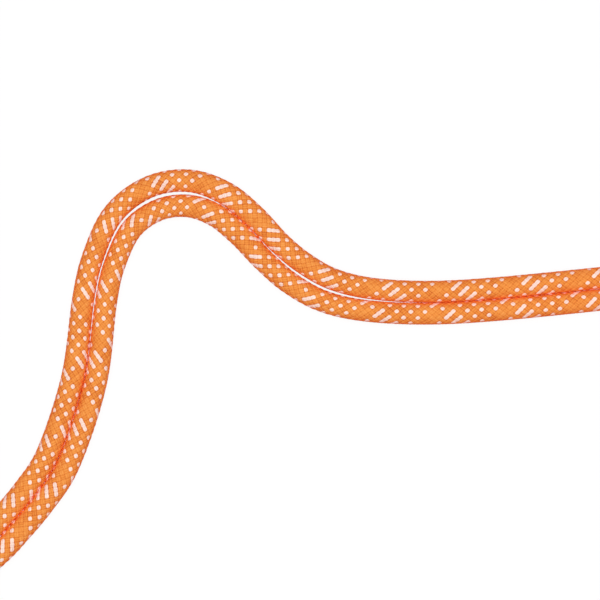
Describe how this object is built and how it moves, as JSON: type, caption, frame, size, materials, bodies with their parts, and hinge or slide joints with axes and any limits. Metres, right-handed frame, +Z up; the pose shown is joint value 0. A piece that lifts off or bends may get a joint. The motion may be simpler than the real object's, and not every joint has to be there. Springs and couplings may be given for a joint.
{
  "type": "dynamic climbing rope",
  "caption": "Kernmantle climbing rope with a braided orange sheath, its two ends side by side along an S-shaped route and the rest in a round coil.",
  "frame": {"origin": "on the ground, at the middle of the whole object's outline", "axes": "+X from the rope's two ends towards its coil, which is the longest way across, +Z up along the coil's axis"},
  "size_m": [0.4937, 0.1914, 0.0845],
  "materials": {
    "sheath": "braided polyamide yarn",
    "core": "twisted polyamide yarn",
    "tape": "thin polyester tape",
    "end_band": "shrunk polyolefin sleeve",
    "fused_tip": "melted polyamide"
  },
  "bodies": {
    "root": {"strand_a_sheath": "sheath", "strand_b_sheath": "sheath", "core_strand_1": "core", "core_strand_2": "core", "core_strand_3": "core", "core_strand_4": "core", "core_strand_5": "core", "core_strand_6": "core", "core_strand_7": "core", "marker_tape": "tape", "coil_first_turn": "sheath", "coil_outer_turns": "sheath", "coil_inner_turns": "sheath", "end_band_a": "end_band", "end_band_b": "end_band", "end_tip_a": "fused_tip", "end_tip_b": "fused_tip"}
  },
  "joints": []
}
